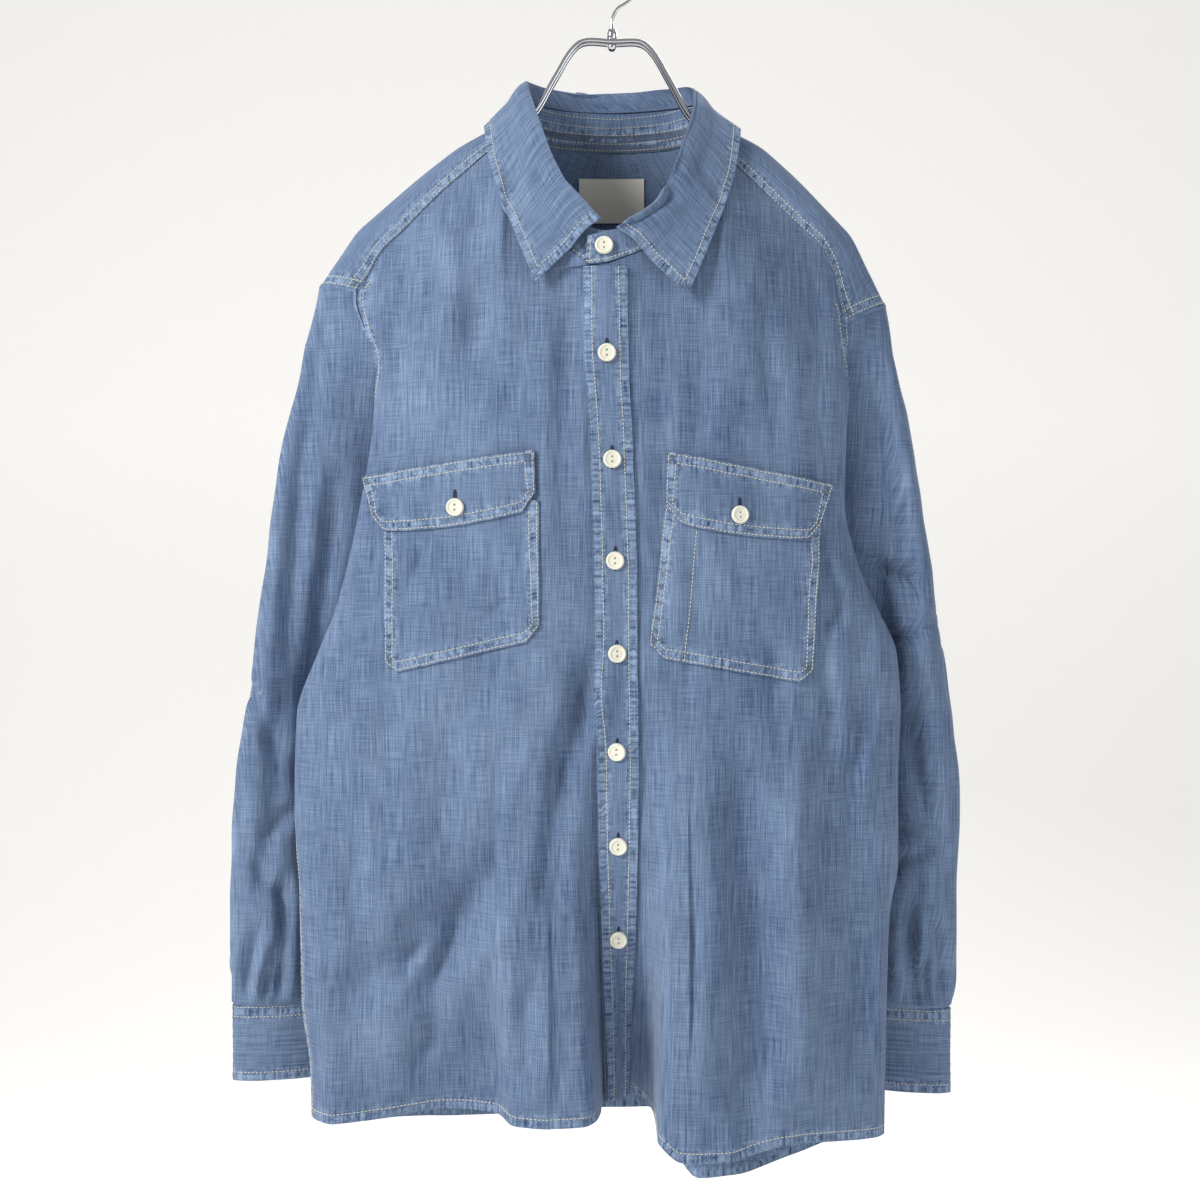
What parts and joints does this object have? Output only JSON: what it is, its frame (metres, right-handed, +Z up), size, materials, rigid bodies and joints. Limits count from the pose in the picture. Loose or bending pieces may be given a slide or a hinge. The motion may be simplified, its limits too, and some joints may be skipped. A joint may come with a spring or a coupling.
{
  "type": "denim shirt on a hanger",
  "caption": "Long-sleeved buttoned denim work shirt with flapped chest pockets, hanging on a chrome two-rod hanger that hooks over a rail.",
  "frame": {"origin": "underside of the hook's crown, where it bears on the rail", "axes": "+Z up, -Y out of the shirt's front, +X towards the wearer's left sleeve"},
  "size_m": [0.588, 0.168, 0.984],
  "materials": {
    "chambray": "matt",
    "button": "satin",
    "label": "matt",
    "chrome": "polished"
  },
  "bodies": {
    "root": {"right_front": "chambray", "left_front": "chambray", "back": "chambray", "yoke": "chambray", "right_sleeve": "chambray", "left_sleeve": "chambray", "right_cuff": "chambray", "left_cuff": "chambray", "collar_stand": "chambray", "collar_leaf": "chambray", "placket": "chambray", "right_pocket": "chambray", "left_pocket": "chambray", "right_flap": "chambray", "left_flap": "chambray", "right_sleeve_placket": "chambray", "left_sleeve_placket": "chambray", "front_button_1": "button", "front_button_2": "button", "front_button_3": "button", "front_button_4": "button", "front_button_5": "button", "front_button_6": "button", "front_button_7": "button", "front_button_8": "button", "right_flap_button": "button", "left_flap_button": "button", "right_cuff_button": "button", "left_cuff_button": "button", "neck_label": "label", "hanger_rods": "chrome", "hanger_hook": "chrome", "hanger_ferrule": "chrome", "hanger_screw": "chrome"}
  },
  "joints": []
}
